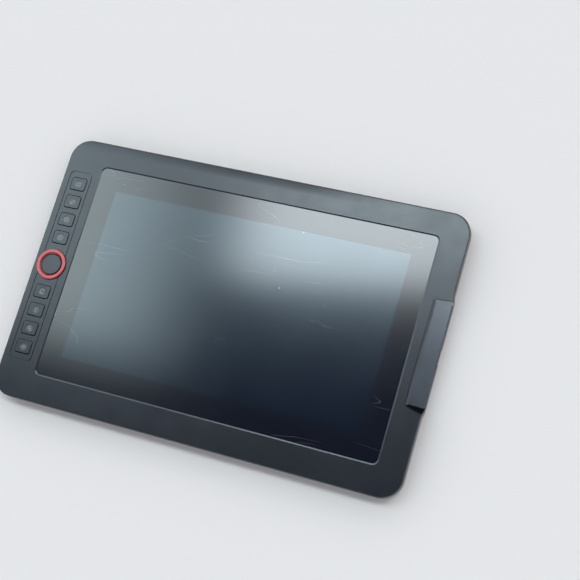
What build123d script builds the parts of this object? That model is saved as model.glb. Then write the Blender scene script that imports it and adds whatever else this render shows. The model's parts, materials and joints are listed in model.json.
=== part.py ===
from build123d import *
import os

# A flat pen display lying on its back: +X to the right, +Y up the screen, +Z out of the glass.
# The origin is the centre of the footprint, on the plane of the feet. All lengths in millimetres.
# Pieces are drawn about the middle of the display, and the export moves them to the origin.

# Lit area of the screen: a stock 11.6 inch cell
screen_width = 256.32
screen_height = 144.18

# Borders of the glass round the lit area, and of the case round the glass
mask_side = 17.94
mask_end = 18.31
left_border = 33.35
right_border = 22.25
upper_border = 21.1
lower_border = 22.9

# Case
case_corner_radius = 17.0
wall = 2.0
face_thickness = 2.6
floor_thickness = 1.6
front_edge_radius = 1.2
rear_taper = 5.0
rear_round = 1.5
rear_shell_height = 5.5
seam_step = 0.2
lip_height = 1.4
lip_thickness = 0.9
lip_gap = 0.2

# Swelling of the right side, round the socket
bulge_depth = 1.0
bulge_margin = 0.6
bulge_blend = 8.5

# Cover plate on the right border, with its sloping recess
recess_run = 13.5
recess_start = 1.0
recess_depth = 3.0
recess_lip = 1.4
upper_flare_share = 0.6
lower_flare_share = 1.75
plate_length = 81.4
plate_rim = 0.3
plate_gap = 0.4
plate_corner_radius = 1.5
plate_sheet = 1.2
plate_ledge = 3.0
plate_side_radius = 1.6
sill_width = 3.0
sill_height = 1.8

# Plug socket and its port
socket_width = 12.4
socket_height = 5.0
socket_depth = 5.0
socket_corner_radius = 1.0
socket_wall = 0.8
port_width = 8.94
port_height = 3.26
port_length = 7.35
port_corner_radius = 1.2
port_shell = 0.3
port_mouth_depth = 6.2
port_tongue_width = 6.7
port_tongue_height = 0.7
port_tongue_length = 4.4
port_ear_length = 3.0
port_ear_width = 1.8
port_ear_sheet = 0.3
port_gap = 0.18

# Feet
foot_length = 52.0
foot_width = 12.0
foot_proud = 1.0
foot_sink = 0.6
foot_edge_radius = 0.3
foot_gap = 0.1
foot_inset_x = 58.0
foot_inset_y = 22.0

# Cover glass and the tape that holds it
glass_thickness = 1.1
glass_corner_radius = 4.5
glass_edge_chamfer = 0.2
glass_gap = 0.35
glass_recess = 0.15
window_round = 0.5
tape_thickness = 0.2
tape_margin = 0.5
ledge_width = 10.0

# Display stack behind the glass
stack_air = 0.4
panel_border_x = 3.0
panel_border_y = 4.0
panel_thickness = 1.2
panel_air = 0.25
backlight_border = 1.0
backlight_thickness = 2.2
tray_sheet = 0.4
tray_gap = 0.2
tray_tab_width = 14.0
tray_tab_length = 6.6
digitizer_margin_x = 8.85
digitizer_margin_y = 5.4
digitizer_thickness = 0.8
shield_border_x = 3.0
shield_border_y = 2.0
shield_thickness = 0.4
shield_tab_width = 10.0
shield_tab_length = 5.5

# Key column
key_pitch = 15.9
key_dial_web = 4.75
key_count = 4
key_opening_width = 14.2
key_opening_height = 11.6
key_opening_radius = 2.2
key_opening_chamfer = 0.25
key_gap = 0.35
key_proud = 0.35
key_edge_radius = 0.45
key_dish_radius = 3.3
key_dish_depth = 0.4
key_flange_rim = 0.5
key_flange_thickness = 0.6
key_flange_gap = 0.3
key_plunger_radius = 1.5
key_plunger_length = 0.2
key_travel = 0.5
run_gap = 0.3
groove_margin_x = 3.3
groove_margin_y = 5.15
groove_radius = 4.0
groove_line = 0.8
groove_depth = 0.5

# Board and rubber mat under the keys
key_board_width = 22.0
key_board_margin = 3.5
key_board_thickness = 1.0
key_board_radius = 2.0
key_boss_radius = 1.5
key_boss_inset_x = 1.6
key_boss_inset_y = 3.6
mat_thickness = 0.5
mat_radius = 2.0
mat_dome_radius = 2.6
mat_gap = 1.0
mat_end_gap = 1.9

# Dial
dial_opening_radius = 13.3
dial_opening_chamfer = 0.4
dial_edge_web = 2.75
ring_width = 4.2
ring_bevel = 1.4
ring_proud = 1.4
ring_round = 0.55
ring_foot = 0.8
ring_slot_width = 2.0
ring_slot_depth = 0.7
wheel_step = 0.2
wheel_thickness = 1.2
wheel_sleeve_wall = 1.3
wheel_lug_gap = 0.1
wheel_lug_inset = 1.9
detent_count = 24
detent_radius = 0.35
hub_radius = 5.0
hub_flange_radius = 7.5
hub_flange_thickness = 0.7
hub_bore_radius = 3.0
hub_bore_depth = 2.6
cap_thickness = 0.9
cap_edge_radius = 0.3
cap_stem_length = 2.2
cap_stem_gap = 0.1

# Push buttons in the top edge
button_length = 10.0
button_height = 2.2
button_gap = 0.3
button_sink = 0.2
button_rim = 0.4
button_flange_thickness = 0.8
button_travel = 0.4
button_edge_radius = 0.3
scoop_depth = 0.7
scoop_margin = 2.2
scoop_rim = 0.6
button_seat_height = 2.0
power_from_right = 40.0
button_spacing_far = 24.0
button_spacing_near = 13.0
button_board_depth = 10.0
button_board_thickness = 1.0
button_board_margin = 7.0
button_board_drop = 1.2
switch_length = 6.0
switch_depth = 3.5
switch_height = 2.4

# Circuit boards in the rear shell
board_thickness = 1.0
main_board_length = 78.0
main_board_width = 74.0
main_board_right = 24.0
main_board_lift = 1.6
board_corner_radius = 2.0
board_hole_inset = 4.5
tongue_width = 22.0
tongue_gap = 0.35
driver_board_length = 210.0
driver_board_width = 10.0
driver_board_thickness = 0.8
driver_board_gap = 4.0
driver_board_drop = 0.7
chip_height = 0.9
flex_thickness = 0.2
flex_width = 22.0
flex_rise = 0.5
flex_reach = 2.6
flex_landing = 4.0
ribbon_width = 12.0
ribbon_overlap = 5.0

# Screws and their bosses
screw_head_radius = 2.3
screw_head_height = 1.5
screw_shank_radius = 1.1
screw_shank_length = 6.5
screw_seat_depth = 2.0
screw_gap = 0.15
screw_boss_radius = 3.2
screw_boss_split = 2.0
screw_inset_corner = 12.0
screw_inset_edge = 8.5
screw_edge_place = 56.0
small_head_radius = 1.7
small_head_height = 0.6
small_shank_radius = 0.8
small_shank_length = 2.4
small_boss_radius = 2.2
small_hole_radius = 0.9

# Ribs on the floor of the rear shell
rib_thickness = 1.2
rib_inset = 52.0
rib_length = 150.0
rib_shift = 32.0

# How far cutting bodies run past what they cut
overrun = 1.0

# Heights
floor_z = foot_proud + floor_thickness
seam_z = foot_proud + rear_shell_height
main_board_z = floor_z + main_board_lift
main_board_top_z = main_board_z + board_thickness
shield_back_z = main_board_top_z + chip_height + stack_air
digitizer_back_z = shield_back_z + shield_thickness
tray_back_z = digitizer_back_z + digitizer_thickness
backlight_back_z = tray_back_z + tray_sheet
panel_back_z = backlight_back_z + backlight_thickness
panel_top_z = panel_back_z + panel_thickness
glass_back_z = panel_top_z + panel_air
glass_top_z = glass_back_z + glass_thickness
front_z = glass_top_z + glass_recess
face_z = front_z - face_thickness
ledge_z = glass_back_z - tape_thickness
key_board_z = shield_back_z
key_board_top_z = key_board_z + key_board_thickness
mat_top_z = key_board_top_z + mat_thickness
key_top_z = front_z + key_proud
key_flange_top_z = face_z - key_flange_gap
key_flange_low_z = key_flange_top_z - key_flange_thickness
key_plunger_z = key_flange_low_z - key_plunger_length
dome_top_z = key_plunger_z - key_travel - run_gap
hub_flange_top_z = key_board_top_z + hub_flange_thickness
ring_low_z = front_z - ring_foot
ring_top_z = front_z + ring_proud
wheel_low_z = ring_low_z - wheel_thickness
cap_low_z = ring_low_z + run_gap
socket_mid_z = floor_z + socket_wall + socket_height / 2
driver_board_top_z = face_z - driver_board_drop
driver_board_z = driver_board_top_z - driver_board_thickness
button_mid_z = seam_z + button_seat_height
button_board_top_z = button_mid_z - button_board_drop
button_board_z = button_board_top_z - button_board_thickness
screw_seat_z = foot_proud + screw_seat_depth
boss_split_z = floor_z + screw_boss_split

# Sizes and places seen from the front
glass_width = screen_width + 2 * mask_side
glass_height = screen_height + 2 * mask_end
case_width = left_border + glass_width + right_border
case_height = lower_border + glass_height + upper_border
case_x = -bulge_depth / 2
case_y = (upper_border - lower_border) / 2
left_x = case_x - case_width / 2
right_x = case_x + case_width / 2
outer_x = right_x + bulge_depth
top_y = case_y + case_height / 2
glass_x = left_x + left_border + glass_width / 2
key_x = left_x + dial_edge_web + dial_opening_radius
recess_x = right_x - recess_run
recess_slope = (recess_depth - recess_start) / recess_run
bulge_length = plate_length + 2 * bulge_margin
far_x = outer_x + overrun
far_y = case_height
main_board_x = right_x - main_board_right - main_board_length / 2
port_mouth_x = outer_x - socket_depth
tongue_end_x = port_mouth_x - socket_wall - tongue_gap
window_width = glass_width - 2 * ledge_width
window_height = glass_height - 2 * ledge_width
panel_width = screen_width + 2 * panel_border_x
panel_height = screen_height + 2 * panel_border_y
backlight_width = panel_width + 2 * backlight_border
backlight_height = panel_height + 2 * backlight_border
tray_width = backlight_width + 2 * (tray_gap + tray_sheet)
tray_height = backlight_height + 2 * (tray_gap + tray_sheet)
digitizer_width = panel_width + 2 * digitizer_margin_x
digitizer_height = panel_height + 2 * digitizer_margin_y + 2 * backlight_border
shield_width = digitizer_width + 2 * shield_border_x
shield_height = digitizer_height + 2 * shield_border_y
driver_board_y = -shield_height / 2 - driver_board_gap - driver_board_width / 2
button_places = [
    right_x - power_from_right,
    right_x - power_from_right - button_spacing_far,
    right_x - power_from_right - button_spacing_far - button_spacing_near,
]
button_names = ["power_button", "brightness_up_button", "brightness_down_button"]
key_first = dial_opening_radius + key_dial_web + key_opening_height / 2
key_last = key_first + (key_count - 1) * key_pitch
key_heights = [side * (key_first + row * key_pitch) for side in (1, -1) for row in range(key_count)]
groove_width = key_opening_width + 2 * groove_margin_x
groove_length = 2 * key_last + key_opening_height + 2 * groove_margin_y
key_board_length = groove_length + 2 * key_board_margin
key_boss_shift = key_board_width / 2 - key_boss_inset_x
key_boss_end = key_board_length / 2 - key_boss_inset_y
mat_width = key_board_width - 2 * (key_boss_inset_x + key_boss_radius)
mat_length = 2 * (key_boss_end - key_boss_radius - mat_end_gap)
ring_outer_radius = dial_opening_radius - run_gap
ring_inner_radius = ring_outer_radius - ring_width
wheel_radius = ring_outer_radius - wheel_step
wheel_lug_radius = ring_outer_radius - wheel_lug_inset

# Tabs of the tray and of the shield: share of the width, and upper (1) or lower (-1) side
tray_tab_shares = [(-0.4, 1), (0, 1), (0.4, 1), (-0.4, -1), (0.4, -1)]
shield_tab_shares = [(-0.44, 1), (-0.17, 1), (0.17, 1), (0.44, 1), (-0.44, -1), (0.44, -1)]


def prism(shape, low, high):
    """A sketch on the XY plane raised between two heights."""
    return extrude(Pos(0, 0, low) * shape, high - low)


def plate(x, y, width, height, low, high, radius=0):
    """A flat plate with round corners where a radius is given."""
    shape = RectangleRounded(width, height, radius) if radius else Rectangle(width, height)
    return prism(Pos(x, y) * shape, low, high)


def post(x, y, radius, low, high):
    """An upright cylinder between two heights."""
    return prism(Pos(x, y) * Circle(radius), low, high)


def span(x_low, x_high, y_low, y_high, low, high):
    """A block given by its limits along each axis."""
    width, depth = x_high - x_low, y_high - y_low
    return plate(x_low + width / 2, y_low + depth / 2, width, depth, low, high)


def case_outline(inset=0):
    """The case seen from the front: a rounded rectangle that swells on its right side."""
    half = bulge_length / 2
    corner = Vector(right_x, half + bulge_blend)
    middle = Vector(right_x + bulge_depth / 2, half + bulge_blend / 2)
    crest = Vector(outer_x, half)
    inside_x = right_x - bulge_depth
    lines = [
        TangentArc(crest, middle, tangent=(0, 1)),
        TangentArc(corner, middle, tangent=(0, -1)),
        Line(corner, (inside_x, corner.Y)),
        Line((inside_x, corner.Y), (inside_x, -corner.Y)),
        Line((inside_x, -corner.Y), (corner.X, -corner.Y)),
        TangentArc((corner.X, -corner.Y), (middle.X, -middle.Y), tangent=(0, 1)),
        TangentArc((crest.X, -crest.Y), (middle.X, -middle.Y), tangent=(0, -1)),
        Line((crest.X, -crest.Y), crest),
    ]
    body = Pos(case_x, case_y) * RectangleRounded(case_width, case_height, case_corner_radius)
    shape = body + make_face(Curve() + lines)
    return offset(shape, -inset, kind=Kind.ARC) if inset else shape


def outer_edges(solid, end):
    """The outer edges of a solid's highest (-1) or lowest (0) face."""
    return solid.faces().sort_by(Axis.Z)[end].outer_wire().edges()


def case_envelope():
    """The whole case as one block: tapered towards the rear, with its front edge rounded."""
    block = prism(case_outline(), foot_proud, front_z)
    return fillet(outer_edges(tapered(block, rear_taper), -1), front_edge_radius)


def tapered(solid, run):
    """A solid whose lowest edge slopes in all round, at half a right angle."""
    return chamfer(outer_edges(solid, 0), run)


def inner_taper(inset):
    """Run of the slope inside a wall, so that the sloping wall is as thick as the floor."""
    return rear_taper + (2**0.5 - 1) * floor_thickness - inset


def slope_z(x):
    """Height of the plate's sloping face, which falls towards the right edge."""
    return front_z - recess_start - recess_slope * (x - recess_x)


def drawn_along_y(points):
    """A body with one section all along Y, past both ends of the case."""
    return extrude(Plane.XZ * make_face(Polyline(*points, close=True)), far_y, both=True)


def recess_space():
    """The sloping recess: a section with flared ends drawn out along the slope, with a sloping lip."""
    half = plate_length / 2
    low = slope_z(far_x)
    high = front_z + overrun + recess_slope * (far_x - recess_x)
    upper = half + upper_flare_share * (high - low)
    lower = half + lower_flare_share * (high - low)
    section = Polyline((-half, low), (half, low), (upper, high), (-lower, high), close=True)
    reach = (far_x - recess_x + overrun) * (1 + recess_slope**2) ** 0.5
    ends = extrude(Plane.YZ.offset(far_x) * make_face(section), reach, dir=(-1, 0, recess_slope))
    floor_x = recess_x + recess_lip
    return ends & drawn_along_y([
        (recess_x, front_z + overrun),
        (recess_x, front_z),
        (floor_x, slope_z(floor_x)),
        (far_x, slope_z(far_x)),
        (far_x, front_z + overrun),
    ])


def plate_outline(grow=0):
    """The cover plate seen from the front: it widens towards the right, past the case's edge."""
    left = recess_x - plate_rim
    half = plate_length / 2 + plate_rim
    corners = []
    for x in (left, far_x):
        depth = front_z - slope_z(x)
        corners.append((x, half + upper_flare_share * depth))
        corners.append((x, -half - lower_flare_share * depth))
    upper_left, lower_left, upper_right, lower_right = corners
    shape = make_face(Polyline(upper_left, lower_left, lower_right, upper_right, close=True))
    shape = fillet(shape.vertices().sort_by(Axis.X)[:2], plate_corner_radius)
    return offset(shape, grow, kind=Kind.ARC) if grow else shape


def plate_hole(x_low, low, high):
    """The opening for the cover plate, to the right of one place and between two heights."""
    return prism(plate_outline(plate_gap), low, high) & span(x_low, far_x, -far_y, far_y, low, high)


def case_screw_places():
    """Centres of the eight screws that hold the two shells together."""
    corner_x = case_width / 2 - screw_inset_corner
    corner_y = case_height / 2 - screw_inset_corner
    edge_y = case_height / 2 - screw_inset_edge
    corners = [(case_x + sx * corner_x, case_y + sy * corner_y) for sx in (-1, 1) for sy in (-1, 1)]
    edges = [(case_x + sx * screw_edge_place, case_y + sy * edge_y) for sx in (-1, 1) for sy in (-1, 1)]
    return corners + edges


def key_boss_places():
    """Centres of the bosses that carry the key board."""
    between = key_first + 1.5 * key_pitch
    sides = [(key_x + sx * key_boss_shift, sy * between) for sx in (-1, 1) for sy in (-1, 1)]
    return sides + [(key_x, key_boss_end), (key_x, -key_boss_end)]


def button_board_span():
    """Left and right ends of the button board."""
    return min(button_places) - button_board_margin, max(button_places) + button_board_margin


def button_board_places():
    """Centres of the two bosses that carry the button board, between its switches."""
    y = button_board_y() - button_board_depth / 2 + small_boss_radius
    middle = (button_places[0] + button_places[1]) / 2
    return [(middle - small_boss_radius, y), (middle + button_spacing_near / 2, y)]


def button_board_y():
    """Middle of the button board, seen from the front."""
    return switch_face_y() - button_board_depth / 2


def switch_face_y():
    """Front of the switches, one travel and a gap behind the buttons."""
    flange_back = top_y - wall - button_gap - button_flange_thickness
    return flange_back - button_travel - run_gap


def driver_board_places():
    """Centres of the two bosses that carry the driver board."""
    reach = driver_board_length / 2 - board_hole_inset
    return [(glass_x - reach, driver_board_y), (glass_x + reach, driver_board_y)]


def tray_screw_places():
    """Centres of the screws that hold the tray to the front shell."""
    y = tray_height / 2 + tray_tab_length - small_head_radius
    return [(glass_x + share * tray_width, side * y) for share, side in tray_tab_shares]


def shield_screw_places():
    """Centres of the screws that hold the shield to the front shell."""
    y = shield_height / 2 + shield_tab_length - small_boss_radius
    return [(glass_x + share * shield_width, side * y) for share, side in shield_tab_shares]


def main_board_places():
    """Centres of the main board's four screws."""
    dx = main_board_length / 2 - board_hole_inset
    dy = main_board_width / 2 - board_hole_inset
    return [(main_board_x + sx * dx, sy * dy) for sx in (-1, 1) for sy in (-1, 1)]


def bosses(places, radius, low, high, hole_radius, hole_depth):
    """Screw bosses that hang from the face down to one height, each with a blind hole."""
    group = Part()
    for x, y in places:
        group += post(x, y, radius, low, high) - post(x, y, hole_radius, low, low + hole_depth)
    return group


def button_slot(length, height, y_low, y_high):
    """A slot-shaped block through the top edge, centred on the origin of a button."""
    shape = Plane.XZ * SlotOverall(length, height)
    return Pos(0, y_high, button_mid_z) * extrude(shape, y_high - y_low)


def front_bezel():
    """The front shell: face, skirt, window, openings, bed of the plate and the bosses behind them."""
    shell = prism(case_outline(), seam_z, front_z)
    shell = fillet(outer_edges(shell, -1), front_edge_radius)
    shell -= prism(case_outline(wall), seam_z, face_z)
    pocket_width = glass_width + 2 * glass_gap
    pocket_height = glass_height + 2 * glass_gap
    pocket_radius = glass_corner_radius + glass_gap
    shell -= plate(glass_x, 0, pocket_width, pocket_height, ledge_z, front_z, pocket_radius)
    window = shell.faces().sort_by(Axis.Z)[-1].inner_wires()[0]
    shell = fillet(window.edges(), window_round)
    shell -= plate(glass_x, 0, window_width, window_height, face_z, ledge_z, glass_corner_radius)
    shell += bezel_bosses()
    shell += bezel_sill()
    shell -= plate_hole(recess_x - overrun, seam_z, front_z) - under_plate(0)
    shell -= plate_hole(recess_x + plate_ledge, seam_z, front_z)
    shell -= key_column_cuts()
    shell -= button_cuts()
    return shell


def bezel_bosses():
    """Every screw boss behind the face of the front shell."""
    hole = small_hole_radius
    depth = small_shank_length
    group = bosses(case_screw_places(), screw_boss_radius, boss_split_z, face_z,
                   screw_shank_radius + screw_gap, screw_shank_length - (boss_split_z - screw_seat_z))
    group += bosses(key_boss_places(), key_boss_radius, key_board_top_z, face_z, hole, depth)
    group += bosses(button_board_places(), small_boss_radius, button_board_top_z, face_z, hole, depth)
    group += bosses(driver_board_places(), small_boss_radius, driver_board_top_z, face_z,
                    hole, driver_board_drop)
    group += bosses(shield_screw_places(), small_boss_radius, digitizer_back_z, face_z, hole, depth)
    return group


def bezel_sill():
    """A thickening behind the face that carries the left edge of the cover plate."""
    half = plate_length / 2
    left, right = recess_x - sill_width, recess_x + plate_ledge
    return span(left, right, -half, half, face_z - sill_height, face_z)


def under_plate(low):
    """Everything under the sheet of the cover plate, down to one height."""
    left, right = recess_x - 2 * overrun, far_x + overrun
    return drawn_along_y([
        (left, low),
        (right, low),
        (right, slope_z(right) - plate_sheet),
        (left, slope_z(left) - plate_sheet),
    ])


def key_column_cuts():
    """The groove round the key column, the key openings and the dial opening."""
    outer = RectangleRounded(groove_width, groove_length, groove_radius)
    inner = offset(outer, -groove_line, kind=Kind.ARC)
    cuts = prism(Pos(key_x, 0) * (outer - inner), front_z - groove_depth, front_z)
    for y in key_heights:
        hole = plate(key_x, y, key_opening_width, key_opening_height, face_z, front_z, key_opening_radius)
        cuts += chamfered_mouth(hole, key_opening_chamfer)
    hole = post(key_x, 0, dial_opening_radius, face_z, front_z)
    return cuts + chamfered_mouth(hole, dial_opening_chamfer)


def chamfered_mouth(hole, size):
    """A cutting body whose front edge opens out by a chamfer."""
    top = hole.faces().sort_by(Axis.Z)[-1]
    return hole + extrude(top, -size, taper=45).mirror(Plane.XY.offset(front_z - size / 2))


def button_cuts():
    """The shallow scoop in the top edge and the three button openings in it."""
    low, high = min(button_places), max(button_places)
    middle = (low + high) / 2
    opening_length = button_length + 2 * button_gap
    opening_height = button_height + 2 * button_gap
    length = high - low + opening_length + 2 * scoop_margin
    scoop = button_slot(length, opening_height + scoop_rim, top_y - scoop_depth, top_y + overrun)
    cuts = Pos(middle, 0) * scoop
    for x in button_places:
        cuts += Pos(x, 0) * button_slot(opening_length, opening_height, top_y - wall - overrun, top_y)
    return cuts


def rear_cover():
    """The rear shell: tapered tray with a lip, screw bosses, ribs and foot recesses."""
    tray = tapered(prism(case_outline(seam_step), foot_proud, seam_z), rear_taper)
    tray = fillet(outer_edges(tray, 0), rear_round)
    cavity_inset = wall + lip_gap + lip_thickness / 2
    cavity = prism(case_outline(cavity_inset), floor_z, seam_z + overrun)
    tray -= tapered(cavity, inner_taper(cavity_inset))
    lip_inset = wall + lip_gap
    lip = case_outline(lip_inset) - case_outline(lip_inset + lip_thickness)
    tray += prism(lip, seam_z - lip_height, seam_z + lip_height)
    tray -= lip_openings()
    tray += rear_ribs()
    for x, y in case_screw_places():
        tray += post(x, y, screw_boss_radius, floor_z - floor_thickness / 2, boss_split_z)
        tray -= post(x, y, screw_head_radius + screw_gap, foot_proud - overrun, screw_seat_z)
        tray -= post(x, y, screw_shank_radius + screw_gap, foot_proud, boss_split_z)
    for x, y in main_board_places():
        tray += post(x, y, small_boss_radius, floor_z - floor_thickness / 2, main_board_z)
        tray -= post(x, y, small_hole_radius, floor_z, main_board_z)
    for x, y in foot_places():
        shape = Pos(x, y) * SlotOverall(foot_length + 2 * foot_gap, foot_width + 2 * foot_gap)
        tray -= prism(shape, foot_proud - overrun, foot_proud + foot_sink)
    return tray


def lip_openings():
    """Gaps in the rear shell's wall and lip, for the cover plate and for the buttons."""
    reach = socket_depth + socket_wall + run_gap
    side = plate_hole(outer_x - reach, floor_z, seam_z + lip_height + overrun)
    low, high = button_board_span()
    depth = wall + lip_gap + lip_thickness + overrun
    return side + span(low, high, top_y - depth, top_y, seam_z, seam_z + lip_height + overrun)


def rear_ribs():
    """Tall ribs on the floor that carry the shield, and low ones that stiffen the floor."""
    group = Part()
    for side in (-1, 1):
        y = side * rib_inset
        group += plate(case_x - rib_shift, y, rib_length, rib_thickness, floor_z, shield_back_z)
    for share in (-0.5, 0, 0.5):
        x = case_x - rib_shift + share * (rib_length - rib_thickness)
        group += plate(x, 0, rib_thickness, 2 * rib_inset, floor_z, main_board_z)
    return group


def foot_places():
    """Centres of the four feet."""
    x = case_width / 2 - foot_inset_x
    y = case_height / 2 - foot_inset_y
    return [(case_x + sx * x, case_y + sy * y) for sy in (1, -1) for sx in (-1, 1)]


def foot(x, y):
    """A rubber pad with round ends, sunk into the rear shell."""
    pad = prism(Pos(x, y) * SlotOverall(foot_length, foot_width), 0, foot_proud + foot_sink)
    return fillet(outer_edges(pad, 0), foot_edge_radius)


def side_plate():
    """The cover plate on the right: recessed slope with flared ends, outer wall and plug socket."""
    body = case_envelope() & prism(plate_outline(), floor_z, front_z)
    body -= recess_space()
    body = fillet(slope_face(body).edges().sort_by(Axis.X)[-1], plate_side_radius)
    heel = inner_taper(wall)
    inner_x = outer_x - wall
    body -= under_plate(floor_z) & drawn_along_y([
        (recess_x - overrun, floor_z),
        (inner_x - heel, floor_z),
        (inner_x, floor_z + heel),
        (inner_x, front_z),
        (recess_x - overrun, front_z),
    ])
    return socket_added(body)


def slope_face(body):
    """The sloping face of the cover plate: the largest that looks up."""
    facing_up = [face for face in body.faces() if face.normal_at().Z > abs(face.normal_at().X)]
    return max(facing_up, key=lambda face: face.area)


def socket_added(body):
    """The plug socket: a square tube behind the outer wall with the port's slot at its back."""
    back_x = port_mouth_x - socket_wall
    half = socket_width / 2 + socket_wall
    top = floor_z + socket_height + 2 * socket_wall
    body += span(back_x, outer_x - wall, -half, half, floor_z, top) & case_envelope()
    mouth = Plane.YZ * RectangleRounded(socket_width, socket_height, socket_corner_radius)
    body -= Pos(port_mouth_x, 0, socket_mid_z) * extrude(mouth, socket_depth + overrun)
    slot = port_outline(port_gap)
    return body - Pos(back_x - overrun, 0, socket_mid_z) * extrude(slot, socket_wall + 2 * overrun)


def port_outline(grow=0):
    """The flat oval of the port, seen along X, grown or shrunk all round."""
    radius = port_corner_radius + grow
    return Plane.YZ * RectangleRounded(port_width + 2 * grow, port_height + 2 * grow, radius)


def usb_c_port():
    """The port: a thin oval shell with its contact tongue and two ears on the board."""
    start = port_mouth_x - port_length
    body = extrude(port_outline(), port_length)
    mouth = extrude(port_outline(-port_shell), port_mouth_depth)
    body -= Pos(port_length - port_mouth_depth, 0, 0) * mouth
    tongue = Plane.YZ * Rectangle(port_tongue_width, port_tongue_height)
    body += Pos(port_length - port_mouth_depth, 0, 0) * extrude(tongue, port_tongue_length)
    body = Pos(start, 0, socket_mid_z) * body
    for side in (-1, 1):
        inner = side * (port_width / 2 - port_shell)
        outer = side * (port_width / 2 + port_ear_width)
        low, high = min(inner, outer), max(inner, outer)
        top = main_board_top_z + port_ear_sheet
        body += span(start, start + port_ear_length, low, high, main_board_top_z, top)
    return body


def cover_glass():
    """The cover glass with a fine chamfer round its front edge."""
    pane = plate(glass_x, 0, glass_width, glass_height, glass_back_z, glass_top_z, glass_corner_radius)
    return chamfer(outer_edges(pane, -1), glass_edge_chamfer)


def glass_tape():
    """The tape frame that holds the glass on its ledge."""
    width = glass_width - 2 * tape_margin
    height = glass_height - 2 * tape_margin
    sheet = plate(glass_x, 0, width, height, ledge_z, glass_back_z, glass_corner_radius)
    open_width = window_width + 2 * tape_margin
    open_height = window_height + 2 * tape_margin
    return sheet - plate(glass_x, 0, open_width, open_height, ledge_z, glass_back_z, glass_corner_radius)


def lcd_panel():
    """The liquid crystal cell."""
    return plate(glass_x, 0, panel_width, panel_height, panel_back_z, panel_top_z)


def backlight():
    """The light guide with its films."""
    return plate(glass_x, 0, backlight_width, backlight_height, backlight_back_z, panel_back_z)


def panel_tray():
    """The sheet metal tray that holds the display, with tabs under the front shell's face."""
    tray = plate(glass_x, 0, tray_width, tray_height, tray_back_z, face_z)
    for share, side in tray_tab_shares:
        x = glass_x + share * tray_width
        y = side * (tray_height + tray_tab_length) / 2
        tray += plate(x, y, tray_tab_width, tray_tab_length, face_z - tray_sheet, face_z)
    inner_width = tray_width - 2 * tray_sheet
    inner_height = tray_height - 2 * tray_sheet
    tray -= plate(glass_x, 0, inner_width, inner_height, backlight_back_z, face_z)
    for x, y in tray_screw_places():
        tray -= post(x, y, small_hole_radius, face_z - tray_sheet, face_z)
    return tray


def digitizer_board():
    """The pen sensing board behind the display."""
    return plate(glass_x, 0, digitizer_width, digitizer_height, digitizer_back_z, tray_back_z)


def shield_plate():
    """The steel sheet behind the pen sensing board, with its screw tabs."""
    sheet = plate(glass_x, 0, shield_width, shield_height, shield_back_z, digitizer_back_z)
    for share, side in shield_tab_shares:
        y = side * (shield_height / 2 + shield_tab_length / 2)
        x = glass_x + share * shield_width
        sheet += plate(x, y, shield_tab_width, shield_tab_length, shield_back_z, digitizer_back_z)
    for x, y in shield_screw_places():
        sheet -= post(x, y, small_hole_radius, shield_back_z, digitizer_back_z)
    return sheet


def panel_flexes():
    """Three flexible tails that bend from the display down to the driver board."""
    start_y = -panel_height / 2
    high = panel_back_z + flex_rise
    bend_y = start_y - flex_reach
    end_y = driver_board_y + driver_board_width / 2 - flex_landing
    low = driver_board_top_z
    points = [
        (start_y, high),
        (start_y, high + flex_thickness),
        (bend_y - flex_thickness, high + flex_thickness),
        (bend_y - flex_thickness, low + flex_thickness),
        (end_y, low + flex_thickness),
        (end_y, low),
        (bend_y, low),
        (bend_y, high),
    ]
    section = Plane.YZ * make_face(Polyline(*points, close=True))
    strip = extrude(section, flex_width / 2, both=True)
    group = Part()
    for share in (-0.25, 0, 0.25):
        group += Pos(glass_x + share * screen_width, 0, 0) * strip
    return group


def driver_board():
    """The narrow board below the display, with its chips and its socket for the ribbon."""
    board = plate(glass_x, driver_board_y, driver_board_length, driver_board_width,
                  driver_board_z, driver_board_top_z)
    for share in (-0.3, 0.12):
        x = glass_x + share * driver_board_length
        board += plate(x, driver_board_y, driver_board_width, driver_board_width / 2,
                       driver_board_z - chip_height, driver_board_z)
    for x, y in driver_board_places():
        board -= post(x, y, small_hole_radius, driver_board_z, driver_board_top_z)
    return board


def ribbon_x():
    """Middle of the display ribbon, over the main board."""
    return main_board_x - main_board_length / 2 + 1.5 * ribbon_width


def display_ribbon():
    """The flat cable from the driver board round the shield's edge to the main board."""
    start_y = driver_board_y
    turn_y = -shield_height / 2 - flex_reach
    end_y = -main_board_width / 2 + ribbon_overlap
    high = driver_board_z
    low = shield_back_z
    points = [
        (start_y, high),
        (turn_y, high),
        (turn_y, low),
        (end_y, low),
        (end_y, low - flex_thickness),
        (turn_y - flex_thickness, low - flex_thickness),
        (turn_y - flex_thickness, high - flex_thickness),
        (start_y, high - flex_thickness),
    ]
    section = Plane.YZ * make_face(Polyline(*points, close=True))
    return Pos(ribbon_x(), 0, 0) * extrude(section, ribbon_width / 2, both=True)


def key_ribbon():
    """The flat cable from the key board to the main board, under the shield."""
    left = key_x + key_board_width / 2 - ribbon_overlap
    right = main_board_x - main_board_length / 2 + ribbon_overlap
    half = ribbon_width / 2
    return span(left, right, -half, half, shield_back_z - flex_thickness, shield_back_z)


def main_board():
    """The main board with a tongue to the right that is notched for the port."""
    board = plate(main_board_x, 0, main_board_length, main_board_width,
                  main_board_z, main_board_top_z, board_corner_radius)
    edge = main_board_x + main_board_length / 2
    half = tongue_width / 2
    board += span(edge - board_corner_radius, tongue_end_x, -half, half, main_board_z, main_board_top_z)
    notch = port_width / 2 + port_gap
    start = port_mouth_x - port_length - port_gap
    board -= span(start, tongue_end_x, -notch, notch, main_board_z, main_board_top_z)
    for x, y in main_board_places():
        board -= post(x, y, small_hole_radius, main_board_z, main_board_top_z)
    return board


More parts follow.
